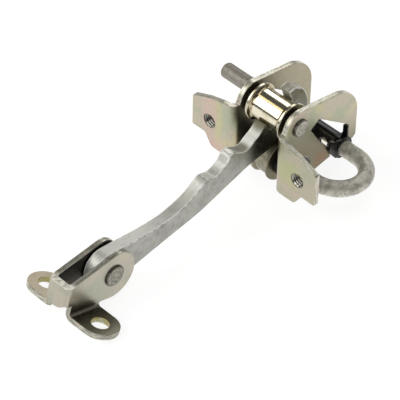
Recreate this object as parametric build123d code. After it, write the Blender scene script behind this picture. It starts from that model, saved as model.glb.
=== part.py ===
from build123d import *
from math import cos, sin, acos, radians, atan2, hypot
import os

os.makedirs("parts", exist_ok=True)

# Frame: +X runs from the clevis to the bracket, +Y to the far cheek, +Z up. Millimetres.
# Drawn about the top roller's axis midway between the cheeks, then moved on export so that the
# origin is midway between the two tapped holes at the flanges' front face.

# Clearances
run_gap = 0.06          # radial, a turning pair
seat_gap = 0.02         # radial, a riveted or pressed pair
piece_gap = 0.3         # between pieces that don't touch

# Top roller and the collars at its ends, which set the cheeks' spacing
top_half = 11.35
top_shift = -0.5                        # roller's middle, towards the near cheek
top_end_gap = 0.1
top_barrel_r = 8.3
top_rim_r = 10.05
top_rim_t = 1.7
collar_r = 7.2
collar_t = 2.13                         # the thinner collar

# Door bracket cheeks
cheek_t = 3.0
cheek_in = top_half + abs(top_shift) + top_end_gap + collar_t + seat_gap    # inner face from the mid-plane
cheek_out = cheek_in + cheek_t
bend_in = 1.8                           # inside bend radius
bend_out = bend_in + cheek_t
flange_front = -14.7                    # front face of the flanges
flange_back = flange_front + cheek_t
bend_x = flange_front + bend_out        # where the cheek turns flat
bend_y = cheek_in + bend_out            # where the flange turns flat
flange_top = 0.7
flange_low = -32.8
flange_out = bend_y + 23.0              # outer end from the mid-plane
flange_out_top, flange_out_low = -7.0, -26.0
shoulder_y, shoulder_z = bend_y + 12.5, -2.5    # where the upper edge turns down
waist_y, waist_z = bend_y + 14.1, -25.8
foot_y = bend_y + 9.7
ear_r = 9.4
back_x = 41.8
tap_y = bend_y + 11.1                   # tapped holes from the mid-plane
tap_z = -16.9
tap_r = 3.4                             # M8 core
tap_collar_r = 5.7
tap_collar_len = 3.4

# Torsion rod and its lower leg
rod_r = 4.25
rod_x, rod_z = 31.2, -31.4              # upper leg
leg_x, leg_z = 1.2, -29.3               # lower leg
rod_far_y = cheek_out + 47.1
rod_bend_y = -(cheek_out + 10.7)        # where the bend starts
leg_far_y = cheek_out + 3.9
leg_slot_r = 8.0
rod_tip = 0.9
rod_end_round = 1.5

# Roller pin
pin_r = 4.0
pin_head_r = 4.85
pin_head_h = 1.2

# Lower roller
low_half = 5.9
low_barrel_r = 10.3
low_rim_r = 11.6
low_rim_t = 1.7
bush_r = 5.9
bush_half = cheek_out - 0.7
bush_collar_r = 7.5                     # beside the roller and in the cheeks' notches
bush_side_gap = 0.1

# Rod guides
sleeve_r = 5.5
guide_out = cheek_out + 2.2
guide_ring_r = 6.1
lip_t = 1.3
slot_y = 9.8                            # arched slot in the sleeve, from the mid-plane
slot_r = 2.8
slot_a = 172.0                          # degrees round from +X
slot_drop = 3.8

# Check arm
arm_t = 7.0
arm_round = 0.8
eye_r = 10.1
cup_r = top_barrel_r + piece_gap

# Pillar clevis, drawn in its own frame and then tilted about the rivet
rivet_x, rivet_z = -114.25, -28.9
tilt = 16.8
rivet_r = 4.5
rivet_head_r = 5.75
rivet_head_h = 1.0
sheet = 3.0
ear_in = 4.2
ear_out = ear_in + sheet
tab_top = -15.1
tab_bend = 1.3
tab_back, tab_front = -25.4, -5.95
tab_x = (tab_back + tab_front) / 2
tab_r = (tab_front - tab_back) / 2
tab_y = 18.4
tab_hole_r = 4.5
web_in = -26.7                          # inner face of the web
web_corner = 2.8                        # outside corner radius, seen from above
web_corner_in = 0.6
web_low, web_low_side = -12.0, -9.6     # lower edge at the middle and at the sides
web_low_y = 5.6
brow_r = 7.5                            # where the sloping edge meets the ear's round
brow_drop = 1.3

parts = {}


def side_plane(y):
    """Plane with local x = X and local y = Z, whose extrusions run towards -Y."""
    return Plane(origin=(0, y, 0), x_dir=(1, 0, 0), z_dir=(0, -1, 0))


def slab(sketch, y_from, y_to):
    """A side outline made solid between two Y values."""
    return extrude(side_plane(max(y_from, y_to)) * sketch, amount=abs(y_to - y_from))


def rod_y(x, z, r, y_from, y_to):
    """Cylinder along Y."""
    plane = Plane(origin=(x, min(y_from, y_to), z), x_dir=(1, 0, 0), z_dir=(0, 1, 0))
    return extrude(plane * Circle(r), amount=abs(y_to - y_from))


def turned(points, x, z):
    """Solid of revolution about a line along Y; points are (radius, y)."""
    plane = Plane(origin=(x, 0, z), x_dir=(1, 0, 0), z_dir=(0, 0, 1))
    face = plane * make_face(Polyline(*points, close=True))
    return revolve(face, axis=Axis((x, 0, z), (0, 1, 0)), revolution_arc=360)


def riveted(shank_r, head_r, head_h, seat, chamf):
    """Shank along Y with a low chamfered head at each end; seat is the heads' inner face."""
    top = seat + head_h
    head = [(shank_r, seat), (head_r, seat), (head_r, top - 0.4), (head_r - chamf, top), (0, top)]
    return one(turned([(r, -y) for r, y in reversed(head)] + head, 0, 0))


def flip(solid):
    """Mirror to the other side of the mid-plane."""
    return mirror(solid, about=Plane.XZ)


def one(shape):
    """The single solid of a result."""
    solids = shape.solids()
    assert len(solids) == 1, len(solids)
    return solids[0]


# Cheek outline seen from the side
lower = lambda x: -37.26 + 0.151 * x
top_line = lambda x: 9.4 - 0.171 * (x - 1.0)
ear_a = atan2(2.9, -8.94)
with BuildSketch() as cheek_sk:
    with BuildLine():
        a = Line((bend_x, flange_low), (bend_x, flange_top))
        b = Line(a @ 1, (ear_r * cos(ear_a), ear_r * sin(ear_a)))
        over_ear = (ear_r * cos(radians(125)), ear_r * sin(radians(125)))
        c = ThreePointArc(b @ 1, over_ear, (1.0, top_line(1.0)))
        d = Line(c @ 1, (back_x, top_line(back_x)))
        e = Line(d @ 1, (back_x, -29.6))
        f = Line(e @ 1, (39.8, lower(39.8)))
        g = Line(f @ 1, (leg_x + leg_slot_r, lower(leg_x + leg_slot_r)))
        h = Line(g @ 1, (leg_x + leg_slot_r, flange_low))
        i = Line(h @ 1, (bend_x, flange_low))
    make_face()
    corner = cheek_sk.vertices().sort_by_distance((back_x, top_line(back_x)))[0]
    fillet(corner, 19.0)
    # slanted opening, open at the bottom where the rod's guide sits
    with BuildSketch(mode=Mode.PRIVATE) as opening_sk:
        with BuildLine():
            Polyline((8.0, -7.0), (13.8, -2.9), (36.1, -20.1), (36.1, -34.5), (24.0, -36.0), (22.6, -27.2),
                     (18.3, -22.2), (14.2, -17.0), close=True)
        make_face()
        fillet(opening_sk.vertices().sort_by_distance((36.1, -20.1))[0], 2.0)
        fillet(opening_sk.vertices().sort_by_distance((13.8, -2.9))[0], 1.0)
        fillet(opening_sk.vertices().sort_by_distance((8.0, -7.0))[0], 0.8)
    add(opening_sk.sketch, mode=Mode.SUBTRACT)
    # notch for the lower leg, open at the bottom
    with Locations((leg_x, leg_z)):
        Circle(leg_slot_r, mode=Mode.SUBTRACT)
    with Locations((leg_x, leg_z - 10)):
        Rectangle(2 * leg_slot_r, 20, mode=Mode.SUBTRACT)
    with Locations((rod_x, rod_z)):
        Circle(sleeve_r + 0.1, mode=Mode.SUBTRACT)
    with Locations((0, 0)):
        Circle(pin_r + seat_gap, mode=Mode.SUBTRACT)

# Flange outline seen from the front, local x = distance from the mid-plane
with BuildSketch() as flange_sk:
    with BuildLine():
        Polyline((bend_y, flange_top), (bend_y + 3.7, flange_top - 0.7), (shoulder_y, shoulder_z),
                 (flange_out, flange_out_top), (flange_out, flange_out_low), (waist_y, waist_z),
                 (foot_y, flange_low), (bend_y, flange_low), close=True)
    make_face()
    rounds = (((shoulder_y, shoulder_z), 14.0), ((flange_out, flange_out_top), 1.3),
              ((flange_out, flange_out_low), 1.0), ((waist_y, waist_z), 2.0), ((foot_y, flange_low), 3.4))
    for at, r in rounds:
        fillet(flange_sk.vertices().sort_by_distance(at)[0], r)
    with Locations((tap_y, tap_z)):
        Circle(tap_r, mode=Mode.SUBTRACT)


def make_cheek():
    """Far cheek with its flange, bend and tapped collar."""
    plate = slab(cheek_sk.sketch, cheek_in, cheek_out)
    front = Plane(origin=(flange_front, 0, 0), x_dir=(0, 1, 0), z_dir=(1, 0, 0))
    flange = extrude(front * flange_sk.sketch, amount=cheek_t)
    base = Plane(origin=(bend_x, bend_y, flange_low), x_dir=(1, 0, 0), z_dir=(0, 0, 1))
    ring = Circle(bend_out) - Circle(bend_in)
    quarter = ring & (Pos(-bend_out, -bend_out) * Rectangle(2 * bend_out, 2 * bend_out))
    bend = extrude(base * quarter, amount=flange_top - flange_low)
    body = plate + flange + bend
    hole = Plane(origin=(flange_back, tap_y, tap_z), x_dir=(0, 1, 0), z_dir=(1, 0, 0))
    body += extrude(hole * (Circle(tap_collar_r) - Circle(tap_r)), amount=tap_collar_len)
    return one(body)


cheek_far = make_cheek()
cheek_near = flip(cheek_far)

# Riveted roller pin
roller_pin = riveted(pin_r, pin_head_r, pin_head_h, cheek_out + seat_gap, 0.5)

# Collars between the roller and the cheeks
collar_far = one(rod_y(0, 0, collar_r, top_shift + top_half + top_end_gap, cheek_in - seat_gap)
                 - rod_y(0, 0, pin_r + seat_gap, 0, cheek_out))
collar_near = one(rod_y(0, 0, collar_r, top_shift - top_half - top_end_gap, seat_gap - cheek_in)
                  - rod_y(0, 0, pin_r + seat_gap, 0, -cheek_out))

# Top roller
inner = top_half - top_rim_t
rim = [(top_barrel_r, inner - 1.7), (top_barrel_r + 0.2, inner - 0.9), (9.0, inner - 0.3),
       (top_rim_r - 0.3, inner), (top_rim_r, inner + 0.3), (top_rim_r, top_half - 0.3),
       (top_rim_r - 0.3, top_half), (pin_r + run_gap, top_half)]
profile = rim + [(r, -y) for r, y in reversed(rim)]
top_roller = turned([(r, y + top_shift) for r, y in profile], 0, 0)

# Lower roller and its bush
inner = low_half - low_rim_t
low_roller = turned([
    (bush_r + run_gap, -low_half), (low_rim_r - 0.5, -low_half), (low_rim_r, -low_half + 0.5),
    (low_rim_r, -inner - 0.4), (low_rim_r - 0.4, -inner), (low_barrel_r, -inner + 0.1),
    (low_barrel_r, inner - 0.1), (low_rim_r - 0.4, inner), (low_rim_r, inner + 0.4),
    (low_rim_r, low_half - 0.5), (low_rim_r - 0.5, low_half), (bush_r + run_gap, low_half)], leg_x, leg_z)
low_bush = rod_y(leg_x, leg_z, bush_r, -bush_half, bush_half)
for s in (1, -1):
    low_bush += rod_y(leg_x, leg_z, bush_collar_r, s * (low_half + bush_side_gap), s * bush_half)
low_bush = one(low_bush - rod_y(leg_x, leg_z, rod_r + seat_gap, -cheek_out, cheek_out))

# Torsion rod
span = hypot(leg_x - rod_x, leg_z - rod_z)
ux, uz = (leg_x - rod_x) / span, (leg_z - rod_z) / span
mid = (rod_x + ux * span / 2, rod_bend_y - span / 2, rod_z + uz * span / 2)
l1 = Line((rod_x, rod_far_y, rod_z), (rod_x, rod_bend_y, rod_z))
l2 = ThreePointArc((rod_x, rod_bend_y, rod_z), mid, (leg_x, rod_bend_y, leg_z))
l3 = Line((leg_x, rod_bend_y, leg_z), (leg_x, leg_far_y, leg_z))
section = Plane(origin=(rod_x, rod_far_y, rod_z), x_dir=(1, 0, 0), z_dir=(0, -1, 0)) * Circle(rod_r)
rod = one(sweep(section, path=Wire([l1.edge(), l2.edge(), l3.edge()])))
leg_end = [e for e in rod.edges() if abs(e.center().Y - leg_far_y) < 0.01]
rod = one(chamfer(leg_end, rod_tip))
far_end = [e for e in rod.edges() if abs(e.center().Y - rod_far_y) < 0.01]
torsion_rod = one(fillet(far_end, rod_end_round))

# Rod guide: sleeve, collar outside the cheek, plug in the opening, thin lug up its back edge
plug_pts = [(23.5, -27.4), (24.8, -33.2), (28.0, -36.2), (34.0, -36.6), (35.7, -32.2), (35.7, -26.4),
            (33.2, -25.8), (29.5, -24.8)]
lip_pts = [(22.0, -22.2), (20.9, -27.5), (22.9, -31.6), (25.8, -35.3), (29.0, -36.6), (33.5, -36.0),
           (36.2, -32.0), (36.6, -30.0), (34.6, -26.6), (31.0, -25.6), (26.0, -25.0)]
lug_pts = [(35.1, -28.0), (35.9, -28.0), (35.9, -21.4), (35.1, -21.4)]
guide = rod_y(rod_x, rod_z, sleeve_r, 0.4, guide_out)
guide += rod_y(rod_x, rod_z, guide_ring_r, cheek_out + piece_gap, guide_out - 0.4)
lip_from = cheek_out + piece_gap
guide += slab(make_face(Polyline(*plug_pts, close=True)), cheek_in + 0.1, lip_from + 0.1)
guide += slab(make_face(Polyline(*lug_pts, close=True)), cheek_in + 0.1, cheek_out + 0.1)
guide += slab(make_face(Polyline(*lip_pts, close=True)), lip_from, lip_from + lip_t)
guide -= rod_y(rod_x, rod_z, rod_r + run_gap, -1, guide_out + 1)
# arched slot in the sleeve's front side that shows the rod
slot_frame = Pos(rod_x, slot_y, rod_z) * Rot(0, 90 - slot_a, 0)
guide -= slot_frame * Pos(0, 0, 4.0) * Cylinder(slot_r, 8.0)
guide -= slot_frame * Pos(-slot_drop / 2, 0, 4.0) * Box(slot_drop, 2 * slot_r, 8.0)
guide_far = one(guide)
guide_near = flip(guide_far)

# Check arm
eye_c = (rivet_x, rivet_z)
top_a = radians(86)
low_a = radians(-84)
eye_top = (rivet_x + eye_r * cos(top_a), rivet_z + eye_r * sin(top_a))
eye_low = (rivet_x + eye_r * cos(low_a), rivet_z + eye_r * sin(low_a))
cup_front = radians(194)
cup_back = radians(12)
cup_start = (cup_r * cos(cup_front), cup_r * sin(cup_front))
cup_end = (cup_r * cos(cup_back), cup_r * sin(cup_back))


def shank(points, root):
    """Points as (share of the way from root to the rivet, height above that line)."""
    return [(root[0] + t * (rivet_x - root[0]), root[1] + t * (rivet_z - root[1]) + up) for t, up in points]


top_root, low_root = (-51.2, -13.4), (-45.1, -28.1)
shank_top = shank([(0.73117, 4.0331), (0.57573, 0.5239), (0.44092, -1.8657), (0.35369, -3.0178),
                   (0.25852, -3.4929), (0.17922, -3.322), (0.09199, -2.3741), (0.03807, -1.21)], top_root)
shank_top = [eye_top, *shank_top, top_root]
notch_1 = [(-48.9, -12.7), (-46.6, -13.3), (-44.0, -14.1), (-41.0, -13.7), (-38.6, -12.6),
           (-36.6, -11.1), (-35.2, -9.0), (-33.9, -7.3), (-32.1, -6.7)]
notch_2 = [(-32.1, -6.7), (-29.2, -7.4), (-26.0, -9.2), (-22.9, -10.1), (-20.0, -9.3),
           (-17.5, -7.5), (-15.0, -6.1), (-12.6, -4.1), (-10.8, -2.5), (-9.4, -1.7)]
shank_low = shank([(0.86623, -9.307), (0.68691, -7.5505), (0.51482, -5.8881), (0.32104, -4.1432),
                   (0.12726, -2.1982)], low_root)
under = [eye_low, *shank_low, low_root, (-40.3, -26.7), (-33.5, -24.8), (-26.7, -22.8), (-21.0, -21.3),
         (-14.0, -20.2), (-7.0, -19.3), (0.3, -18.6)]
with BuildSketch() as arm_sk:
    with BuildLine():
        eye = ThreePointArc(eye_top, (rivet_x - eye_r, rivet_z), eye_low)
        Spline(*shank_top)
        Line(shank_top[-1], notch_1[0])
        Spline(*notch_1)
        Spline(*notch_2)
        Line(notch_2[-1], cup_start)
        ThreePointArc(cup_start, (0, -cup_r), cup_end)
        Polyline(cup_end, (8.9, 3.2), (6.6, 9.6), (11.3, 10.2), (16.4, 6.8))
        ThreePointArc((16.4, 6.8), (19.1, 1.5), (20.3, -5.0))
        ThreePointArc((20.3, -5.0), (17.0, -13.6), (8.5, -17.4))
        Line((8.5, -17.4), (0.3, -18.6))
        Spline(*under)
    make_face()
blank = slab(arm_sk.sketch, -arm_t / 2, arm_t / 2)
rims = [e for e in blank.edges() if abs(abs(e.center().Y) - arm_t / 2) < 0.01]
arm = blank
for size in (arm_round, 0.6, 0.4):
    try:
        arm = fillet(rims, size)
        print("arm rounded", size)
        break
    except Exception:
        continue
arm = one(arm - rod_y(rivet_x, rivet_z, rivet_r + run_gap, -10, 10))

# Pillar clevis in its own frame
ear_c = (0.6, -0.5)
ear_rad = 12.9
slope_a = radians(21.4)
tan_a = radians(90) + slope_a
reach = ear_rad - brow_drop * cos(slope_a)
brow_a = tan_a - acos((reach - brow_r) / (ear_rad - brow_r))


def around(centre, r, a):
    """Point on a circle."""
    return (centre[0] + r * cos(a), centre[1] + r * sin(a))


brow_c = around(ear_c, ear_rad - brow_r, brow_a)
tan_pt = around(brow_c, brow_r, tan_a)
brow_mid = around(brow_c, brow_r, (tan_a + brow_a) / 2)
brow_pt = around(ear_c, ear_rad, brow_a)
web_out = web_in - sheet
rear_x = web_out - 1
rear_pt = (rear_x, tan_pt[1] - (tan_pt[0] - rear_x) * sin(slope_a) / cos(slope_a))
low_pt = (ear_c[0], ear_c[1] - ear_rad)
bend_z = tab_top + tab_bend
with BuildSketch() as ear_sk:
    with BuildLine():
        Polyline(low_pt, (tab_front + 1.0, low_pt[1] - 0.05), (tab_front, bend_z), (rear_x, bend_z),
                 rear_pt, tan_pt)
        ThreePointArc(tan_pt, brow_mid, brow_pt)
        ThreePointArc(brow_pt, (ear_c[0] + ear_rad, ear_c[1]), low_pt)
    make_face()


# the sheet seen from above, a channel closed at the back
with BuildSketch() as plan_sk:
    with Locations(((web_out + 20) / 2, 0)):
        Rectangle(20 - web_out, 2 * ear_out)
    fillet(plan_sk.vertices().group_by(Axis.X)[0], web_corner)
    with BuildSketch(mode=Mode.PRIVATE) as room_sk:
        with Locations(((web_in + 24) / 2, 0)):
            Rectangle(24 - web_in, 2 * ear_in)
        fillet(room_sk.vertices().group_by(Axis.X)[0], web_corner_in)
    add(room_sk.sketch, mode=Mode.SUBTRACT)
channel = extrude(Plane.XY.offset(-30) * plan_sk.sketch, amount=60)
# the back ends higher than the ears, its lower edge bowed
with BuildSketch() as under_sk:
    with BuildLine():
        Polyline((-web_low_y, web_low_side), (-20, web_low_side), (-20, -40), (20, -40), (20, web_low_side),
                 (web_low_y, web_low_side))
        ThreePointArc((web_low_y, web_low_side), (0, web_low), (-web_low_y, web_low_side))
    make_face()
behind = Plane(origin=(rear_x - 2, 0, 0), x_dir=(0, 1, 0), z_dir=(1, 0, 0))
clevis = channel & slab(ear_sk.sketch, -20, 20)
clevis -= extrude(behind * under_sk.sketch, amount=tab_back - rear_x + 2)
tab_out = tab_bend + sheet
for s in (1, -1):
    y_c = s * (ear_out + tab_bend)
    base = Plane(origin=(tab_back, y_c, bend_z), x_dir=(0, 1, 0), z_dir=(1, 0, 0))
    ring = Circle(tab_out) - Circle(tab_bend)
    quarter = ring & (Pos(-s * tab_out, -tab_out) * Rectangle(2 * tab_out, 2 * tab_out))
    clevis += extrude(base * quarter, amount=tab_front - tab_back)
    tab = Pos(tab_x, s * tab_y) * Circle(tab_r)
    tab += Pos(tab_x, (y_c + s * tab_y) / 2) * Rectangle(2 * tab_r, abs(s * tab_y - y_c))
    tab -= Pos(tab_x, s * tab_y) * Circle(tab_hole_r)
    clevis += extrude(Plane.XY.offset(tab_top - sheet) * tab, amount=sheet)
clevis -= rod_y(0, 0, rivet_r + seat_gap, -20, 20)
place = Pos(rivet_x, 0, rivet_z) * Rot(0, tilt, 0)
clevis = one(clevis)

# Hinge rivet
rivet = riveted(rivet_r, rivet_head_r, rivet_head_h, ear_out + seat_gap, 0.45)

parts["cheek_near"] = cheek_near
parts["cheek_far"] = cheek_far
parts["roller_pin"] = roller_pin
parts["collar_near"] = collar_near
parts["collar_far"] = collar_far
parts["top_roller"] = top_roller
parts["lower_roller"] = low_roller
parts["lower_bush"] = low_bush
parts["torsion_rod"] = torsion_rod
parts["guide_near"] = guide_near
parts["guide_far"] = guide_far
parts["check_arm"] = arm
parts["pillar_clevis"] = place * clevis
parts["hinge_rivet"] = place * rivet

to_frame = Pos(-flange_front, 0, -tap_z)
for name, shape in parts.items():
    shape = to_frame * shape
    export_step(shape, "parts/" + name + ".step")
    box = shape.bounding_box()
    print(name, round(shape.volume), [round(v, 1) for v in (*box.min, *box.max)])
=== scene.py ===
from math import cos, hypot, pi, radians, sin

import bpy
from mathutils import Matrix, Vector


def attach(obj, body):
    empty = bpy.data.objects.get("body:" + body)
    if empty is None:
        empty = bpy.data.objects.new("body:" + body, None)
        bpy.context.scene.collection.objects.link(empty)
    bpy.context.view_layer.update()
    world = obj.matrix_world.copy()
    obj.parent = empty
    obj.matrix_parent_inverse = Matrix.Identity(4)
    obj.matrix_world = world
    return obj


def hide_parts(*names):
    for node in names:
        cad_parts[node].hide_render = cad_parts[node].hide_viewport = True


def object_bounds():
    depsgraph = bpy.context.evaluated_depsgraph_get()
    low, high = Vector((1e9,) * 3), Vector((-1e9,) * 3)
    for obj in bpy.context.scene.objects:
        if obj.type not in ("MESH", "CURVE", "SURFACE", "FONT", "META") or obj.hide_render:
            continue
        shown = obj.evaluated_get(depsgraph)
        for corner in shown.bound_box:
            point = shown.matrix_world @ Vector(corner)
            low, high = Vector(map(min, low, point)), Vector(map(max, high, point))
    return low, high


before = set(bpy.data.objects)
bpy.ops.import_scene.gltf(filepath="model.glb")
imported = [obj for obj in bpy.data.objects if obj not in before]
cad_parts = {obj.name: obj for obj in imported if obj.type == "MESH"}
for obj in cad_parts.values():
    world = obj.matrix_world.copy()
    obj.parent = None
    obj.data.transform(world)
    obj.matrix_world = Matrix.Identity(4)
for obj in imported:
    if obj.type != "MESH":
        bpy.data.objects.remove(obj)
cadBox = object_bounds()
bpy.ops.object.select_all(action="DESELECT")
mm = 0.001
print("frame loaded,", len(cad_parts), "nodes")

# camera and light

shot = {
    "azimuth": -45.416, "elevation": 43.424, "roll": 1.181,
    "lookAt": (-0.03673, -0.00092, -0.00862),
    "distance": 1.262265, "lens": 235.295, "sensor": 36, "clip": (0.05, 20),
}

studio = {
    "floorSize": 6.0,
    "floorGap": 0.05,             # mm under the lowest point
    "floorGlow": 0.84,            # how far the sheet of paper lights itself
    "floorTone": (0.30, 0.30, 0.30),
    "roomTone": (0.085, 0.085, 0.080),
    "backdrop": (0.93, 0.93, 0.93),
    # azimuth and elevation seen from the part, distance, width, height, brightness
    "softboxes": {
        "leftSoftbox": (132, 35, 1.5, 0.95, 1.15, 2.8),
        "sideSoftbox": (178, 32, 1.5, 0.80, 0.90, 2.6),
        "backSoftbox": (40, 31, 1.5, 0.62, 0.72, 2.2),
        "lowStrip": (6, 11, 1.5, 0.90, 0.34, 1.2),
        "topSoftbox": (0, 88, 1.6, 0.80, 0.80, 1.7),
        "cameraFill": (222, 24, 1.7, 0.90, 0.50, 0.9),
        "rightFill": (-20, 48, 1.6, 1.30, 1.10, 0.8),
        "warmSliver": (104, 57, 1.5, 0.24, 0.34, 1.7),
    },
    "warmth": {"warmSliver": (1.0, 0.84, 0.50)},
}


def direction(azimuth, elevation):
    a, e = radians(azimuth), radians(elevation)
    return Vector((cos(a) * cos(e), sin(a) * cos(e), sin(e)))


def setCamera():
    a, e, r = (radians(shot[k]) for k in ("azimuth", "elevation", "roll"))
    back = Vector((sin(a) * cos(e), -cos(a) * cos(e), sin(e)))
    flat = Vector((cos(a), sin(a), 0))
    rise = back.cross(flat)
    right = cos(r) * flat + sin(r) * rise
    up = -sin(r) * flat + cos(r) * rise
    bpy.ops.object.camera_add()
    camera = bpy.context.object
    camera.name = "photoCamera"
    camera.matrix_world = Matrix((right, up, back)).transposed().to_4x4()
    camera.location = Vector(shot["lookAt"]) + back * shot["distance"]
    camera.data.lens = shot["lens"]
    camera.data.sensor_width = shot["sensor"]
    camera.data.clip_start, camera.data.clip_end = shot["clip"]
    bpy.context.scene.camera = camera


def addSoftbox(name, azimuth, elevation, distance, width, height, brightness):
    away = direction(azimuth, elevation)
    centre = Vector(shot["lookAt"])
    bpy.ops.object.light_add(type="AREA", location=centre + away * distance)
    lamp = bpy.context.object
    lamp.name = name
    lamp.rotation_euler = away.to_track_quat("Z", "Y").to_euler()
    lamp.data.shape = "RECTANGLE"
    lamp.data.size, lamp.data.size_y = width, height
    lamp.data.energy = brightness * pi * width * height
    lamp.data.color = studio["warmth"].get(name, (1.0, 1.0, 1.0))
    lamp.visible_camera = False


setCamera()
for lampName, place in studio["softboxes"].items():
    addSoftbox(lampName, *place)
bpy.context.scene.view_settings.view_transform = "Standard"
print("camera and softboxes placed")


class Wire:  # a shader socket that takes plain sums
    def __init__(self, graph, socket):
        self.graph, self.socket = graph, socket

    def maths(self, operation, *values):
        return self.graph.add("Math", {"operation": operation}, list(values))

    def __add__(self, other): return self.maths("ADD", self, other)
    def __radd__(self, other): return self.maths("ADD", other, self)
    def __sub__(self, other): return self.maths("SUBTRACT", self, other)
    def __rsub__(self, other): return self.maths("SUBTRACT", other, self)
    def __mul__(self, other): return self.maths("MULTIPLY", self, other)
    def __rmul__(self, other): return self.maths("MULTIPLY", other, self)
    def __pow__(self, other): return self.maths("POWER", self, other)
    def __abs__(self): return self.maths("ABSOLUTE", self)


def tone(red, green, blue):  # screen colour, 0 to 255, to Blender's own
    shares = [level / 255 for level in (red, green, blue)]
    linear = [s / 12.92 if s < 0.04045 else ((s + 0.055) / 1.055) ** 2.4 for s in shares]
    return (*linear, 1.0)


class Graph:  # the nodes of one material
    def __init__(self, name):
        self.material = bpy.data.materials.new(name)
        self.material.use_nodes = True
        self.tree = self.material.node_tree
        self.tree.nodes.clear()
        place = self.add("TexCoord", out="Object")
        self.spot = self.add("VectorMath", {"operation": "SCALE"}, {"Vector": place, "Scale": 1 / mm})
        self.x, self.y, self.z = self.split(self.spot)

    def add(self, kind, settings=None, inputs=None, out=0):
        node = self.tree.nodes.new("ShaderNode" + kind)
        for key, value in (settings or {}).items():
            setattr(node, key, value)
        pairs = inputs.items() if isinstance(inputs, dict) else enumerate(inputs or [])
        for key, value in pairs:
            if isinstance(value, Wire):
                self.tree.links.new(value.socket, node.inputs[key])
            elif value is not None:
                node.inputs[key].default_value = value
        return Wire(self, node.outputs[out]) if node.outputs else node

    def split(self, vector):
        return [self.add("SeparateXYZ", inputs=[vector], out=axis) for axis in "XYZ"]

    def noise(self, size, detail=2.0, rough=0.5, stretch=(1, 1, 1), shift=(0, 0, 0), turn=(0, 0, 0)):
        vector = self.spot
        if stretch != (1, 1, 1) or shift != (0, 0, 0) or turn != (0, 0, 0):
            moved = {"Vector": self.spot, "Location": shift, "Rotation": turn, "Scale": stretch}
            vector = self.add("Mapping", inputs=moved)
        grain = {"Vector": vector, "Scale": 1.0 / size, "Detail": detail, "Roughness": rough}
        return self.add("TexNoise", inputs=grain)

    def ramp(self, value, low, high):  # 0 below low, 1 above high, smooth between
        return self.add("MapRange", {"interpolation_type": "SMOOTHSTEP"},
                        {"Value": value, "From Min": low, "From Max": high, "To Min": 0.0, "To Max": 1.0})

    def fall(self, value, low, high):  # 1 below low, 0 above high
        return 1 - self.ramp(value, low, high)

    def band(self, value, low, high, soft):  # 1 between low and high
        return self.ramp(value, low - soft, low + soft) * self.fall(value, high - soft, high + soft)

    def mix(self, factor, first, second):
        return self.add("Mix", {"data_type": "RGBA"}, {0: factor, 6: first, 7: second}, out=2)

    def near(self, centre, inner, outer):  # 1 inside a ball, 0 outside it
        far = self.add("VectorMath", {"operation": "DISTANCE"}, [self.spot, centre], out="Value")
        return self.fall(far, inner, outer)

    def reach(self, across, up):  # distance from an axis
        return self.add("Math", {"operation": "SQRT"}, [across ** 2.0 + up ** 2.0])

    def bump(self, height, depth):
        return self.add("Bump", inputs={"Height": height, "Distance": depth * mm, "Strength": 1.0})

    def surface(self, **sockets):
        named = {key.replace("_", " ").title(): value for key, value in sockets.items()}
        if "Ior" in named:
            named["IOR"] = named.pop("Ior")
        shader = self.add("BsdfPrincipled", inputs=named)
        self.add("OutputMaterial", inputs={"Surface": shader})
        return self.material


# where the sheets' bends and holes lie, mm: the bracket in the frame, the clevis untilted about its rivet
bracketSheet = {"bendX": 4.8, "bendY": 18.9}
clevisSheet = {
    "rivet": (-99.55, -12.0), "tilt": 16.8, "webX": -26.0, "bendZ": -13.8, "bendY": 8.5, "webY": 4.4,
    "hole": (-15.675, 18.4),
}

# zinc plate

plate = {
    "tone": tone(190, 182, 163), "green": tone(176, 179, 155), "yellow": tone(204, 192, 145),
    "pink": tone(204, 180, 168), "mottle": tone(150, 146, 130), "speck": tone(105, 100, 88),
    "patch": 15.0,                # size of the drifts of colour, mm
    "drift": 0.5, "mottled": 0.22, "specked": 0.45, "roughness": 0.36, "bump": 0.03,
}
clevisPlate = {
    **plate, "tone": tone(186, 180, 165), "green": tone(176, 176, 160), "patch": 12.0, "drift": 0.14,
}


def plateMaterial(name, look, tints):
    graph = Graph(name)
    # broad drifts of colour in the passivated zinc
    drift = graph.noise(look["patch"], 2.0, 0.55)
    second = graph.noise(look["patch"] * 0.8, 2.0, 0.5, shift=(31, 7, 12))
    colour = graph.mix(graph.ramp(drift, 0.42, 0.62), look["tone"], look["green"])
    colour = graph.mix(graph.ramp(second, 0.52, 0.72) * look["drift"], colour, look["pink"])
    colour = graph.mix(graph.fall(second, 0.30, 0.44) * look["drift"], colour, look["yellow"])
    for mask, (tint, strength) in tints(graph):
        colour = graph.mix(mask * strength, colour, tint)
    # fine mottling and specks
    mottle = graph.noise(1.7, 4.0, 0.65)
    colour = graph.mix(graph.ramp(mottle, 0.40, 0.75) * look["mottled"], colour, look["mottle"])
    speck = graph.noise(0.55, 1.0, 0.5)
    colour = graph.mix(graph.ramp(speck, 0.70, 0.78) * look["specked"], colour, look["speck"])
    scuff = graph.noise(2.2, 2.0, 0.5, stretch=(1.0, 9.0, 1.3), turn=(0.3, 0.5, 0.9))
    grain = graph.noise(0.35, 2.0, 0.6)
    normal = graph.bump(grain * 0.5 + mottle * 0.8, look["bump"])
    rough = look["roughness"] + (mottle - 0.5) * 0.16 + graph.ramp(scuff, 0.56, 0.70) * -0.07
    return graph.surface(base_color=colour, metallic=1.0, roughness=rough, normal=normal)


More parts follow.
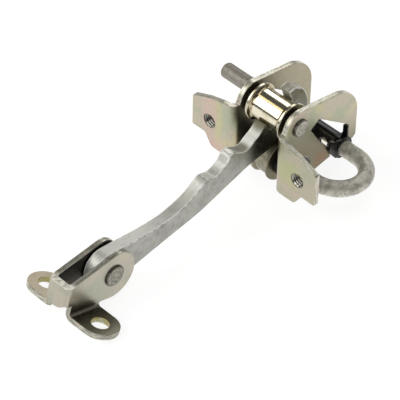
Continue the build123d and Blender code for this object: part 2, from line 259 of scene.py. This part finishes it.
# each tint of the bracket: its colour and strength
bracketLook = {
    "rosy": (tone(204, 180, 168), 0.75), "foot": (tone(204, 180, 168), 0.8),
    "stripe": (tone(214, 203, 140), 0.36), "green": (tone(186, 190, 128), 0.62),
    # the near cheek's darker foot and the far cheek's darker inner face are painted shade
    "nearFlange": (tone(176, 173, 148), 0.3), "lowShade": (tone(124, 115, 94), 0.95),
    "inside": (tone(168, 160, 137), 0.9), "rust": (tone(140, 102, 76), 0.5),
}
# and where it lies, mm in the frame: a ramp from and to, a band's ends and softness, or a ball
bracketZones = {
    "flangeX": (3.4, 4.6), "halves": (-2.0, 2.0),
    "stripeMiddle": 23.4, "stripeWaver": (11.0, 5.0), "stripeWidth": (0.2, 4.2),
    "stripeZ": (-9.0, 12.0, 6.0),
    "rosyFrom": (23.5, 27.0), "rosyTo": (31.0, 38.0),
    "foot": ((0.0, 24.0, -14.5), 3.0, 9.0), "green": ((0.0, -24.5, 1.0), 3.5, 11.0),
    "outsideY": (15.4, 16.6), "outsideX": (5.5, 7.5), "low": (5.0, 31.0), "lowSlope": 0.5,
    "insideY": (13.5, 14.6, 0.3), "insideX": (6.0, 9.0), "rust": ((31.0, -17.1, -13.0), 1.0, 8.0),
}


def bracketTints(graph):
    zones = bracketZones
    onFlange = graph.fall(graph.x, *zones["flangeX"])
    near = graph.fall(graph.y, *zones["halves"])
    far = graph.ramp(graph.y, *zones["halves"])
    # a yellow drift beside each flange's bend and pink beyond it on the far one
    size, waver = zones["stripeWaver"]
    middle = zones["stripeMiddle"] + (graph.noise(size, 1.0) - 0.5) * waver
    stripe = graph.fall(abs(abs(graph.y) - middle), *zones["stripeWidth"]) * onFlange
    stripe = stripe * graph.band(graph.z, *zones["stripeZ"])
    rosy = graph.ramp(graph.y, *zones["rosyFrom"]) * graph.fall(graph.y, *zones["rosyTo"]) * onFlange
    # painted shade: the near cheek browner and darker towards its foot, the far one's inner face a little
    outside = graph.ramp(graph.y * -1, *zones["outsideY"]) * graph.ramp(graph.x, *zones["outsideX"])
    low = graph.fall(graph.z + graph.x * zones["lowSlope"], *zones["low"])
    # painted shade on the far cheek's inner face
    inside = graph.band(graph.y, *zones["insideY"]) * graph.ramp(graph.x, *zones["insideX"])
    masks = {
        "rosy": rosy, "foot": graph.near(*zones["foot"]) * far, "stripe": stripe * far,
        "green": graph.near(*zones["green"]), "nearFlange": onFlange * near, "lowShade": outside * low,
        "inside": inside, "rust": graph.near(*zones["rust"]) * outside,
    }
    return [(mask, bracketLook[key]) for key, mask in masks.items()]


class ClevisPlace:  # coordinates in the clevis's own untilted frame, mm
    def __init__(self, graph):
        pin = (clevisSheet["rivet"][0], 0.0, clevisSheet["rivet"][1])
        moved = graph.add("VectorMath", {"operation": "SUBTRACT"}, [graph.spot, pin])
        turned = graph.add("VectorRotate", {"rotation_type": "Y_AXIS"},
                           {"Vector": moved, "Angle": -radians(clevisSheet["tilt"])})
        self.x, self.y, self.z = graph.split(turned)
        self.side = abs(self.y)
        holeX, holeY = clevisSheet["hole"]
        self.fromHole = graph.reach(self.x - holeX, self.side - holeY)


clevisLook = {
    # painted shade: the darkening inside the channel, on the tabs' upper faces, in the near bend, at the
    # near ear's foot and in its corner
    "room": (tone(74, 72, 66), 1.0), "farTabShade": (tone(158, 148, 128), 0.9),
    "nearTabShade": (tone(154, 149, 130), 0.9), "bend": (tone(70, 66, 54), 1.0),
    "foot": (tone(84, 80, 66), 0.85), "corner": (tone(92, 88, 74), 0.7),
    "streak": (tone(190, 188, 172), 0.8), "bore": (tone(186, 176, 104), 0.9),
}
clevisZones = {
    "roomSide": (4.3, 4.6), "roomX": (-26.9, -26.5), "roomZ": (-13.0, -11.0), "halves": (-2.0, 2.0),
    "tabSide": (7.4, 9.0), "tabZ": (-15.4, -13.0, 0.25), "bendFrom": (7.25, 8.6), "bendTo": (10.0, 19.0),
    "earFrom": (7.0, 7.15), "earTo": (7.3, 7.6),
    "footSlope": 0.25, "footZ": (-17.0, -11.5), "footX": (-12.0, -4.0),
    "cornerSide": (7.3, 8.5, 0.2), "cornerZ": (-15.2, -13.9, 0.2), "streakSide": (8.3, 8.8, 0.25),
    "boreReach": (4.6, 4.9), "boreSide": (9.0, 10.0),
}


def clevisTints(graph):
    own, zones = ClevisPlace(graph), clevisZones
    near = graph.fall(own.y, *zones["halves"])
    far = graph.ramp(own.y, *zones["halves"])
    # painted shade inside the channel
    room = graph.fall(own.side, *zones["roomSide"]) * graph.ramp(own.x, *zones["roomX"])
    room = room * graph.ramp(own.z, *zones["roomZ"])
    # painted shade on the tabs' upper faces, nearly black in the near one's bend
    onTab = graph.ramp(own.side, *zones["tabSide"]) * graph.band(own.z, *zones["tabZ"])
    # painted shade in the near tab's bend
    bend = graph.ramp(own.side, *zones["bendFrom"]) * graph.fall(own.side, *zones["bendTo"]) * near
    speckled = graph.ramp(graph.noise(1.1, 3.0, 0.65, shift=(3, 6, 8)), 0.40, 0.56)
    # painted shade on the near ear's outer face, darker towards its foot
    outer = graph.ramp(own.side, *zones["earFrom"]) * graph.fall(own.side, *zones["earTo"]) * near
    foot = graph.fall(own.z + own.x * zones["footSlope"], *zones["footZ"])
    foot = foot * graph.fall(own.x, *zones["footX"])
    # painted shade in the near corner where the ear turns into the tab
    corner = graph.band(own.side, *zones["cornerSide"]) * graph.band(own.z, *zones["cornerZ"])
    streak = graph.ramp(graph.noise(0.8, 2.0, 0.6), 0.50, 0.62)
    streak = streak * graph.band(own.side, *zones["streakSide"])
    bore = graph.fall(own.fromHole, *zones["boreReach"]) * graph.ramp(own.side, *zones["boreSide"])
    masks = {
        "room": room, "farTabShade": onTab * far, "nearTabShade": onTab * near,
        "bend": onTab * bend * (0.66 + speckled * 0.3),
        "foot": outer * foot, "corner": corner * near, "streak": streak * near, "bore": bore,
    }
    return [(mask, clevisLook[key]) for key, mask in masks.items()]


# sheared edges of the sheets

cutLook = {
    "olive": (tone(196, 196, 152), 0.4), "rosy": (tone(206, 178, 166), 0.45),
    "crumb": (tone(100, 96, 84), 0.6), "fracture": (tone(56, 54, 44), 1.0),
    # the near-white beads are a painted highlight on the clevis web's top rim
    "rimHighlight": (tone(240, 237, 222), 1.0), "bore": (tone(168, 158, 92), 0.8),
    "metallic": 0.70, "rimHighlightMetallic": 0.10, "roughness": 0.30, "bump": 0.10,
}


# where the sheet was torn off, the holes' walls and the rim of the clevis's web, mm
bracketEdgeZones = {
    "turned": (3.0, 4.4),         # x up to which an edge belongs to the flange and its bend
    "farTear": (15.95, 16.2, 0.14), "nearTear": (-14.75, -14.5, 0.14),
}
clevisEdgeZones = {
    "turned": (7.6, 9.0),         # from the middle, where an edge begins to belong to a tab
    "tear": (5.75, 6.05, 0.16), "bore": (4.7, 5.1), "rimX": (-27.0, -24.5), "rimZ": (-5.0, -3.0),
}


def cutMaterial(name, first, second, layout):
    graph = Graph(name)
    # lines run along the edge, in the cheek's or ear's plane or round the part turned out of it
    alongCheek = graph.noise(0.45, 2.0, 0.6, stretch=(0.07, 1.0, 0.07))
    alongTurned, turned, fracture, bore, rimHighlight = layout(graph)
    tear = alongCheek * (1 - turned) + alongTurned * turned
    blot = graph.noise(3.2, 2.0, 0.6)
    crumbs = graph.noise(0.8, 2.0, 0.6)
    masks = {
        "olive": graph.ramp(blot, 0.60, 0.74),
        "rosy": graph.ramp(graph.noise(4.0, 2.0, 0.5, shift=(4, 19, 2)), 0.58, 0.72),
        "crumb": graph.ramp(crumbs, 0.63, 0.72), "fracture": fracture, "rimHighlight": rimHighlight, "bore": bore,
    }
    colour = graph.mix(graph.ramp(tear, 0.38, 0.60), first, second)
    for key, mask in masks.items():
        tint, strength = cutLook[key]
        colour = graph.mix(mask * strength, colour, tint)
    normal = graph.bump(tear * 0.7 + crumbs * 0.8, cutLook["bump"])
    metal = cutLook["metallic"] - rimHighlight * (cutLook["metallic"] - cutLook["rimHighlightMetallic"])
    rough = cutLook["roughness"] + (blot - 0.5) * 0.2
    return graph.surface(base_color=colour, metallic=metal, roughness=rough, normal=normal)


def bracketEdges(graph):
    zones = bracketEdgeZones
    turned = graph.fall(graph.x, *zones["turned"])
    alongTurned = graph.noise(0.45, 2.0, 0.6, stretch=(1.0, 0.07, 0.07))
    # dark line where the sheet tore off
    broken = graph.ramp(graph.noise(1.6, 2.0, 0.6), 0.42, 0.56)
    far = graph.band(graph.y, *zones["farTear"]) * (1 - turned)
    near = graph.band(graph.y, *zones["nearTear"]) * (1 - turned)
    return alongTurned, turned, (far * 0.85 + near * 0.6) * broken, 0.0, 0.0


def clevisEdges(graph):
    own, zones = ClevisPlace(graph), clevisEdgeZones
    turned = graph.ramp(own.side, *zones["turned"])
    alongTurned = graph.noise(0.5, 2.0, 0.6, stretch=(0.10, 0.10, 1.0))
    broken = graph.ramp(graph.noise(1.6, 2.0, 0.6), 0.36, 0.50)
    fracture = graph.band(own.side, *zones["tear"]) * broken * 0.7
    patchy = graph.ramp(graph.noise(2.4, 2.0, 0.6), 0.30, 0.52)
    bore = graph.fall(own.fromHole, *zones["bore"]) * turned * patchy
    # painted highlight beads along the web's top rim
    rimHighlight = graph.fall(own.x, *zones["rimX"]) * graph.ramp(own.z, *zones["rimZ"]) * (1 - turned)
    rimHighlight = rimHighlight * (0.5 + graph.ramp(graph.noise(1.7, 2.0, 0.5), 0.40, 0.56) * 0.5)
    return alongTurned, turned, fracture * (1 - turned) * (1 - rimHighlight), bore, rimHighlight


# check arm

armLook = {
    "tone": tone(150, 150, 142), "dull": tone(126, 126, 117), "worn": (tone(180, 180, 172), 0.35),
    "top": (tone(220, 220, 212), 0.62), "tracks": (tone(150, 149, 140), 0.45),
    "speck": (tone(96, 94, 86), 0.5),
    "stop": (tone(186, 178, 154), 0.5), "stopBlotch": (tone(96, 90, 74), 0.45),
    # a painted highlight along the top's rounded edge
    "edgeHighlight": tone(250, 250, 244), "nicks": (tone(70, 68, 60), 0.75),
    # painted highlight on the second crest, painted shade in the notch beside it
    "crestHighlight": (tone(246, 246, 238), 0.8), "notch": (tone(134, 132, 112), 0.8),
    # painted shade on the flanks between the rollers and on the top next to the top roller
    "shadeBetweenRollers": tone(50, 47, 30), "cupShade": (tone(98, 95, 74), 1.0), "roughness": 0.40, "bump": 0.05,
}
armZones = {
    "top": (2.9, 3.3), "flank": (3.2, 3.45), "edgeHighlight": (2.7, 3.46, 0.10),
    "stopX": (19.0, 22.0), "stopZ": (13.0, 18.0),
    "firstCrest": ((-34.0, -2.2, 4.4), 0.8, 3.0), "secondCrest": ((-16.8, -2.4, 10.2), 0.8, 3.2),
    "crestHighlight": ((-16.5, 0.0, 10.3), 1.0, 3.5), "notch": ((-8.0, 0.0, 6.9), 1.0, 5.0),
    "between": (-5.0, 19.0, 4.5), "cupShade": ((5.6, 0.0, 16.0), 3.0, 8.0),
}


def armMaterial():
    graph, zones = Graph("armSteel"), armZones
    cloud = graph.noise(7.0, 3.0, 0.6)
    fine = graph.noise(0.9, 3.0, 0.65)
    side = abs(graph.y)
    onTop = graph.fall(side, *zones["top"])
    flank = graph.ramp(side, *zones["flank"])

    def tinted(colour, key, mask):
        tint, strength = armLook[key]
        return graph.mix(mask * strength, colour, tint)

    colour = graph.mix(graph.ramp(cloud, 0.38, 0.66), armLook["tone"], armLook["dull"])
    colour = tinted(colour, "top", onTop)
    colour = tinted(colour, "worn", graph.ramp(fine, 0.52, 0.74))
    tracks = graph.noise(1.8, 3.0, 0.65, stretch=(0.5, 1.0, 0.5))
    colour = tinted(colour, "tracks", graph.ramp(tracks, 0.50, 0.72) * onTop)
    colour = tinted(colour, "speck", graph.ramp(graph.noise(0.7, 1.0, 0.5, shift=(5, 3, 9)), 0.69, 0.76))
    # the end stop past the roller is duller and blotched
    stop = graph.ramp(graph.x, *zones["stopX"]) * graph.ramp(graph.z, *zones["stopZ"])
    blotch = graph.ramp(graph.noise(2.6, 2.0, 0.6, shift=(9, 2, 5)), 0.42, 0.58)
    colour = tinted(colour, "stop", stop)
    colour = tinted(colour, "stopBlotch", stop * blotch)
    # a painted highlight in a broken bright line along the top's edge, dark nicks at the crests
    edgeHighlight = graph.band(side, *zones["edgeHighlight"])
    broken = graph.ramp(graph.noise(2.4, 2.0, 0.6), 0.36, 0.54)
    colour = graph.mix(edgeHighlight * (0.45 + broken * 0.5), colour, armLook["edgeHighlight"])
    nicks = graph.ramp(graph.noise(1.0, 2.0, 0.6, shift=(7, 1, 3)), 0.52, 0.62)
    crests = graph.near(*zones["firstCrest"]) + graph.near(*zones["secondCrest"])
    colour = tinted(colour, "nicks", crests * nicks)
    # a painted highlight on the second crest, painted shade in the notch beside it
    colour = tinted(colour, "crestHighlight", graph.near(*zones["crestHighlight"]) * onTop)
    colour = tinted(colour, "notch", graph.near(*zones["notch"]) * onTop)
    # painted shade on the flanks between the rollers
    between = graph.band(graph.x, *zones["between"]) * flank
    shadeBreakup = 0.78 + graph.ramp(graph.noise(2.6, 3.0, 0.6), 0.3, 0.6) * 0.22
    colour = graph.mix(between * shadeBreakup, colour, armLook["shadeBetweenRollers"])
    # painted shade on the top next to the top roller
    colour = tinted(colour, "cupShade", graph.near(*zones["cupShade"]))
    normal = graph.bump(fine * 0.7 + cloud * 0.6, armLook["bump"])
    rough = armLook["roughness"] + (fine - 0.5) * 0.20
    metal = 0.9 - onTop * 0.5 - between * 0.2 - edgeHighlight * 0.4
    return graph.surface(base_color=colour, metallic=metal, roughness=rough, normal=normal)


# torsion rod

rodLook = {
    "tone": tone(218, 214, 202), "dark": tone(180, 176, 164), "light": (tone(236, 234, 226), 0.6),
    "end": (tone(130, 124, 115), 0.85), "pit": (tone(84, 82, 74), 0.8), "slotHighlight": tone(250, 248, 240),
    "endY": (14.0, 24.0),         # the straight end beyond the far cheek is duller than the bend
    "slotY": (6.0, 13.5, 0.6),    # painted highlight where the guides' slots show the rod
    "slotX": (30.0, 34.0),
    "roughness": 0.50, "bump": 0.09,
}


def rodMaterial():
    graph = Graph("rodSteel")
    cloud = graph.noise(4.0, 3.0, 0.6)
    fine = graph.noise(1.2, 3.0, 0.7)
    end = graph.ramp(graph.y, *rodLook["endY"])
    pit = graph.ramp(graph.noise(0.9, 2.0, 0.6, shift=(2, 8, 4)), 0.61, 0.69)
    slotHighlight = graph.band(abs(graph.y), *rodLook["slotY"]) * graph.ramp(graph.x, *rodLook["slotX"])
    colour = graph.mix(graph.ramp(cloud, 0.40, 0.64), rodLook["tone"], rodLook["dark"])
    for key, mask in (("light", graph.ramp(fine, 0.54, 0.72)), ("end", end), ("pit", pit)):
        tint, strength = rodLook[key]
        colour = graph.mix(mask * strength, colour, tint)
    # a painted highlight, with a smoother and more metallic surface, where the guides' slots show the rod
    colour = graph.mix(slotHighlight, colour, rodLook["slotHighlight"])
    normal = graph.bump((fine * 0.6 + cloud - pit * 0.8) * (1 - slotHighlight), rodLook["bump"])
    rough = (rodLook["roughness"] + (fine - 0.5) * 0.25) * (1 - slotHighlight * 0.7)
    metal = 0.40 + end * 0.2 + slotHighlight * 0.6
    return graph.surface(base_color=colour, metallic=metal, roughness=rough, normal=normal)


# rollers, collars and threads

rollerLook = {
    "tone": tone(228, 222, 200), "smear": tone(214, 205, 176),
    # painted dark reflection in the hollows beside the rims
    "hollowReflection": (tone(168, 146, 104), 0.65), "rim": (tone(196, 190, 170), 0.7),
    "middle": -0.5, "barrelHalf": 7.9, "rimInner": 9.65, "soft": 0.2, "rimSoft": 0.3,
    "roughness": 0.13, "bump": 0.006,
}


def rollerMaterial():
    # bright turned and plated, with fine rings round the axis and a painted dark reflection in the rims'
    # hollows
    graph = Graph("brightRoller")
    rings = graph.noise(0.5, 2.0, 0.5, stretch=(0.02, 1.0, 0.02))
    smear = graph.noise(3.0, 2.0, 0.5, stretch=(1.0, 0.3, 1.0))
    along = abs(graph.y - rollerLook["middle"])
    rimInner = rollerLook["rimInner"]
    hollowReflection = graph.band(along, rollerLook["barrelHalf"], rimInner, rollerLook["soft"])
    rim = graph.ramp(along, rimInner, rimInner + rollerLook["rimSoft"])
    colour = graph.mix(graph.ramp(smear, 0.42, 0.70), rollerLook["tone"], rollerLook["smear"])
    for key, mask in (("hollowReflection", hollowReflection), ("rim", rim)):
        tint, strength = rollerLook[key]
        colour = graph.mix(mask * strength, colour, tint)
    normal = graph.bump(rings, rollerLook["bump"])
    rough = rollerLook["roughness"] + graph.ramp(smear, 0.4, 0.8) * 0.08 + rim * 0.08
    return graph.surface(base_color=colour, metallic=1.0, roughness=rough, normal=normal)


turnedLooks = {
    "zincRoller": {"tone": tone(156, 150, 132), "dull": tone(128, 123, 104), "roughness": 0.36,
                   # painted shade on the lower roller's end faces
                   "faceY": (5.3, 5.7), "face": (tone(112, 106, 84), 0.85),
                   "speckFrom": (0.58, 0.70), "speck": (tone(58, 54, 44), 0.5)},
    # the collar's near-black tone is painted shade in the gaps beside the top roller
    "shadeDarkCollar": {"tone": tone(46, 43, 34), "dull": tone(30, 28, 22), "roughness": 0.42,
                   "speckFrom": (0.60, 0.74), "speck": (tone(70, 66, 56), 0.4)},
    "cutThread": {"tone": tone(168, 166, 156), "dull": tone(120, 118, 108), "roughness": 0.26,
                  "speckFrom": (0.60, 0.74), "speck": (tone(70, 66, 56), 0.4)},
}


def turnedMaterial(name):
    graph, look = Graph(name), turnedLooks[name]
    rings = graph.noise(0.6, 2.0, 0.5, stretch=(0.05, 1.0, 0.05))
    cloud = graph.noise(3.5, 3.0, 0.6)
    colour = graph.mix(graph.ramp(cloud, 0.38, 0.66), look["tone"], look["dull"])
    # painted shade on the end faces, where a look gives it
    if "face" in look:
        tint, strength = look["face"]
        colour = graph.mix(graph.ramp(abs(graph.y), *look["faceY"]) * strength, colour, tint)
    tint, strength = look["speck"]
    specks = graph.ramp(graph.noise(0.8, 2.0, 0.6), *look["speckFrom"])
    colour = graph.mix(specks * strength, colour, tint)
    normal = graph.bump(rings + cloud * 0.6, 0.03)
    rough = look["roughness"] + (cloud - 0.5) * 0.2
    return graph.surface(base_color=colour, metallic=1.0, roughness=rough, normal=normal)


# rivet heads; the axis is x and z in the frame, mm

headLooks = {
    "hingeHead": {"tone": tone(122, 119, 109), "light": tone(160, 156, 145),
                  "axis": (-99.55, -12.0), "rim": 5.75},
    "pinHead": {"tone": tone(160, 155, 146), "light": tone(212, 208, 198),
                "axis": (14.7, 16.9), "rim": 4.85},
}
headWear = {
    # the dark ring is painted shade round each head's rim
    "fine": (tone(110, 107, 98), 0.4), "rimShade": (tone(84, 78, 66), 0.75),
    "groove": (tone(108, 104, 94), 0.45),
    "rimShadeFrom": 1.1, "rimShadeTo": 0.4,             # mm inside the rim
    "grooveFrom": 0.50, "grooveTo": 0.58,       # shares of the head's radius
    "bump": 0.16,
}


def headMaterial(name):
    # hammered face of the upset heads, with painted shade darkening it towards its rim
    graph, look = Graph(name), headLooks[name]
    (axisX, axisZ), rim = look["axis"], look["rim"]
    dent = graph.noise(1.3, 2.0, 0.55)
    fine = graph.noise(0.45, 2.0, 0.6)
    out = graph.reach(graph.x - axisX, graph.z - axisZ) + (dent - 0.5) * 0.8
    rimShade = graph.ramp(out, rim - headWear["rimShadeFrom"], rim - headWear["rimShadeTo"])
    groove = graph.band(out, rim * headWear["grooveFrom"], rim * headWear["grooveTo"], 0.25)
    colour = graph.mix(graph.ramp(dent, 0.36, 0.66), look["tone"], look["light"])
    for key, mask in (("fine", graph.ramp(fine, 0.58, 0.72)), ("rimShade", rimShade), ("groove", groove)):
        tint, strength = headWear[key]
        colour = graph.mix(mask * strength, colour, tint)
    normal = graph.bump(dent * 1.2 + fine * 0.5 - groove * 0.8 - rimShade * 1.2, headWear["bump"])
    rough = 0.34 + (fine - 0.5) * 0.25
    return graph.surface(base_color=colour, metallic=0.9, roughness=rough, normal=normal)


plasticLook = {
    "tone": tone(10, 10, 11), "haze": tone(18, 18, 19),
    "roughness": 0.12, "ior": 1.38, "bump": 0.006,
}


def plasticMaterial():
    graph = Graph("blackPlastic")
    fine = graph.noise(0.8, 2.0, 0.5)
    haze = graph.ramp(graph.noise(5.0, 2.0, 0.5), 0.4, 0.7)
    colour = graph.mix(haze, plasticLook["tone"], plasticLook["haze"])
    normal = graph.bump(fine, plasticLook["bump"])
    rough = plasticLook["roughness"] + haze * 0.10
    return graph.surface(base_color=colour, roughness=rough, ior=plasticLook["ior"], normal=normal)


def paperMaterial():
    graph = Graph("palePaper")
    diffuse = graph.add("BsdfDiffuse", inputs={"Color": (*studio["floorTone"], 1)})
    glow = graph.add("Emission", inputs={"Color": (1, 1, 1, 1), "Strength": studio["floorGlow"]})
    both = graph.add("AddShader", inputs=[diffuse, glow])
    graph.add("OutputMaterial", inputs={"Surface": both})
    return graph.material


finishes = {
    "bracketZinc": plateMaterial("bracketZinc", plate, bracketTints),
    "clevisZinc": plateMaterial("clevisZinc", clevisPlate, clevisTints),
    "bracketCut": cutMaterial("bracketCut", tone(168, 165, 146), tone(222, 219, 204), bracketEdges),
    "clevisCut": cutMaterial("clevisCut", tone(134, 132, 117), tone(194, 191, 177), clevisEdges),
    "arm": armMaterial(),
    "rod": rodMaterial(),
    "roller": rollerMaterial(),
    "lowerRoller": turnedMaterial("zincRoller"),
    "collar": turnedMaterial("shadeDarkCollar"),
    "thread": turnedMaterial("cutThread"),
    "rivet": headMaterial("hingeHead"),
    "pinHead": headMaterial("pinHead"),
    "plastic": plasticMaterial(),
}
print("finishes made:", ", ".join(sorted(finishes)))

# pieces

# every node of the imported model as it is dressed: name, body, record slot, edge rounding in mm, finishes
dressing = {
    "cheek_near": ("cheekNear", "bracket", "bracket_zinc", 0.30, ("bracketZinc", "bracketCut")),
    "cheek_far": ("cheekFar", "bracket", "bracket_zinc", 0.30, ("bracketZinc", "bracketCut")),
    "roller_pin": ("rollerPin", "bracket", "rivet_steel", 0.15, ("pinHead",)),
    "collar_near": ("collarNear", "bracket", "collar_steel", 0.15, ("collar",)),
    "collar_far": ("collarFar", "bracket", "collar_steel", 0.15, ("collar",)),
    "guide_near": ("guideNear", "bracket", "black_plastic", 0.20, ("plastic",)),
    "guide_far": ("guideFar", "bracket", "black_plastic", 0.20, ("plastic",)),
    "top_roller": ("topRoller", "top_roller", "roller_bright", 0.12, ("roller",)),
    "torsion_rod": ("torsionRod", "rod", "rod_steel", 0.25, ("rod",)),
    "lower_bush": ("lowerBush", "rod", "black_plastic", 0.20, ("plastic",)),
    "lower_roller": ("lowerRoller", "lower_roller", "roller_zinc", 0.15, ("lowerRoller",)),
    "check_arm": ("checkArm", "arm", "arm_steel", 0.0, ("arm",)),
    "pillar_clevis": ("pillarClevis", "clevis", "clevis_zinc", 0.32, ("clevisZinc", "clevisCut")),
    "hinge_rivet": ("hingeRivet", "clevis", "rivet_steel", 0.15, ("rivet",)),
}

meshCare = {
    "weld": 0.002,                # mm within which points become one
    "flat": 0.6,                  # degrees under which faces join
    "sharp": 32,                  # degrees from which an edge is rounded
    "smooth": 34,                 # degrees up to which faces shade as one
    "normalWeight": 60,
    "cutEdge": 0.92,              # a face whose normal is this far along the sheet's own is its surface
}

thread = {
    "pitch": 1.25, "turns": 5,
    "wall": 4.0,                  # radius at the roots, mm
    "core": 3.4,                  # radius at the crests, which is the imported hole's
    "start": 0.25,                # mm behind the flange's face
    "flank": 0.72,                # how flat its triangular section is
    "sides": 36, "smooth": 40,
    "holeY": 30.0, "holes": {"cheek_near": -1, "cheek_far": 1},
}


def deselectAll():
    bpy.ops.object.select_all(action="DESELECT")


def makeActive(piece):
    deselectAll()
    piece.select_set(True)
    bpy.context.view_layer.objects.active = piece


def applyModifier(piece, kind, **settings):
    makeActive(piece)
    modifier = piece.modifiers.new(kind.title(), kind)
    for key, value in settings.items():
        setattr(modifier, key, value)
    bpy.ops.object.modifier_apply(modifier=modifier.name)


def bracketFacing(centre):  # direction square to the bracket's sheet at a point
    bendX, bendY = bracketSheet["bendX"], bracketSheet["bendY"]
    side = 1 if centre.y > 0 else -1
    if abs(centre.y) > bendY:
        return Vector((1, 0, 0))
    if centre.x > bendX:
        return Vector((0, 1, 0))
    return Vector((centre.x - bendX, centre.y - side * bendY, 0)).normalized()


def clevisFacing(centre):  # the same for the clevis, which is worked out untilted
    webX, webY, bendY, bendZ = (clevisSheet[key] for key in ("webX", "webY", "bendY", "bendZ"))
    turn = Matrix.Rotation(radians(clevisSheet["tilt"]), 3, "Y")
    local = turn.inverted() @ (centre - Vector((clevisSheet["rivet"][0], 0, clevisSheet["rivet"][1])))
    side = 1 if local.y > 0 else -1
    if abs(local.y) > bendY:
        across = Vector((0, 0, 1))
    elif local.z < bendZ:
        across = Vector((0, local.y - side * bendY, local.z - bendZ)).normalized()
    elif local.x < webX and abs(local.y) < webY:
        across = Vector((1, 0, 0))
    elif local.x < webX:
        across = Vector((local.x - webX, local.y - side * webY, 0)).normalized()
    else:
        across = Vector((0, 1, 0))
    return turn @ across


def paintCutEdges(piece, facing):
    for face in piece.data.polygons:
        across = facing(Vector(face.center) / mm)
        face.material_index = 0 if abs(face.normal.dot(across)) > meshCare["cutEdge"] else 1


def openHole(piece, side):  # the tapped hole's wall goes out to the thread's full depth
    makeActive(piece)
    for vertex in piece.data.vertices:
        y, z = vertex.co.y / mm - side * thread["holeY"], vertex.co.z / mm
        vertex.select = hypot(y, z) < (thread["core"] + thread["wall"]) / 2
    for edge in piece.data.edges:
        edge.select = all(piece.data.vertices[i].select for i in edge.vertices)
    for face in piece.data.polygons:
        face.select = all(piece.data.vertices[i].select for i in face.vertices)
    bpy.ops.object.mode_set(mode="EDIT")
    grow = thread["wall"] / thread["core"]
    bpy.ops.transform.resize(value=(1, grow, grow), center_override=(0, side * thread["holeY"] * mm, 0))
    bpy.ops.object.mode_set(mode="OBJECT")


def dress(node):
    name, body, slot, rounding, finish = dressing[node]
    piece = bpy.data.objects.new(name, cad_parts[node].data.copy())
    bpy.context.scene.collection.objects.link(piece)
    makeActive(piece)
    if piece.data.has_custom_normals:
        bpy.ops.mesh.customdata_custom_splitnormals_clear()
    bpy.ops.object.mode_set(mode="EDIT")
    bpy.ops.mesh.select_all(action="SELECT")
    bpy.ops.mesh.remove_doubles(threshold=meshCare["weld"] * mm)
    bpy.ops.mesh.dissolve_limited(angle_limit=radians(meshCare["flat"]))
    bpy.ops.object.mode_set(mode="OBJECT")
    if node in thread["holes"]:
        openHole(piece, thread["holes"][node])
    if rounding:
        applyModifier(piece, "BEVEL", width=rounding * mm, segments=2, limit_method="ANGLE",
                      angle_limit=radians(meshCare["sharp"]), use_clamp_overlap=False, loop_slide=False,
                      miter_outer="MITER_ARC")
    piece.data.materials.clear()
    for key in finish:
        piece.data.materials.append(finishes[key])
    for face in piece.data.polygons:
        face.material_index = 0
    bpy.ops.object.shade_smooth_by_angle(angle=radians(meshCare["smooth"]))
    applyModifier(piece, "WEIGHTED_NORMAL", keep_sharp=True, weight=meshCare["normalWeight"])
    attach(piece, body)
    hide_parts(node)
    return piece


dressed = {node: dress(node) for node in dressing}
paintCutEdges(dressed["cheek_near"], bracketFacing)
paintCutEdges(dressed["cheek_far"], bracketFacing)
paintCutEdges(dressed["pillar_clevis"], clevisFacing)
print("pieces dressed:", len(dressed))


def makeThread(name, side):
    deselectAll()
    middle = (thread["wall"] + thread["core"]) / 2 * mm
    depth = (thread["wall"] - thread["core"]) * mm
    bpy.ops.mesh.primitive_circle_add(vertices=3, radius=depth, fill_type="NOTHING", location=(0, 0, middle),
                                      rotation=(-pi / 2, 0, 0))
    piece = bpy.context.object
    piece.name = name
    bpy.ops.object.transform_apply(location=True, rotation=True)
    bpy.ops.object.mode_set(mode="EDIT")
    bpy.ops.mesh.select_all(action="SELECT")
    bpy.ops.transform.resize(value=(1.0, 1.0, thread["flank"]), center_override=(0, 0, middle))
    bpy.ops.object.mode_set(mode="OBJECT")
    applyModifier(piece, "SCREW", axis="X", screw_offset=thread["pitch"] * mm, iterations=thread["turns"],
                  steps=thread["sides"], render_steps=thread["sides"], use_merge_vertices=False)
    bpy.ops.object.mode_set(mode="EDIT")
    bpy.ops.mesh.select_all(action="SELECT")
    bpy.ops.mesh.fill_holes(sides=3)
    bpy.ops.mesh.normals_make_consistent(inside=False)
    bpy.ops.transform.translate(value=(thread["start"] * mm, side * thread["holeY"] * mm, 0))
    bpy.ops.object.mode_set(mode="OBJECT")
    piece.data.materials.append(finishes["thread"])
    bpy.ops.object.shade_smooth_by_angle(angle=radians(thread["smooth"]))
    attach(piece, "bracket")


for name, side in (("threadNear", -1), ("threadFar", 1)):
    makeThread(name, side)
print("threads cut")

# floor and room


def addFloor():
    height = cadBox[0].z - studio["floorGap"] * mm
    bpy.ops.mesh.primitive_plane_add(size=studio["floorSize"], location=(0, 0, height))
    floor = bpy.context.object
    floor.name = "paleFloor"
    bpy.ops.object.transform_apply(location=True)
    floor.data.materials.append(paperMaterial())


def setRoom():
    world = bpy.data.worlds.new("softRoom")
    bpy.context.scene.world = world
    world.use_nodes = True
    nodes, links = world.node_tree.nodes, world.node_tree.links
    nodes.clear()
    room = nodes.new("ShaderNodeBackground")
    room.inputs["Color"].default_value = (*studio["roomTone"], 1)
    paper = nodes.new("ShaderNodeBackground")
    paper.inputs["Color"].default_value = (*studio["backdrop"], 1)
    seen = nodes.new("ShaderNodeLightPath")
    choose = nodes.new("ShaderNodeMixShader")
    out = nodes.new("ShaderNodeOutputWorld")
    links.new(seen.outputs["Is Camera Ray"], choose.inputs["Fac"])
    links.new(room.outputs[0], choose.inputs[1])
    links.new(paper.outputs[0], choose.inputs[2])
    links.new(choose.outputs[0], out.inputs["Surface"])


addFloor()
setRoom()
print("floor and room set")
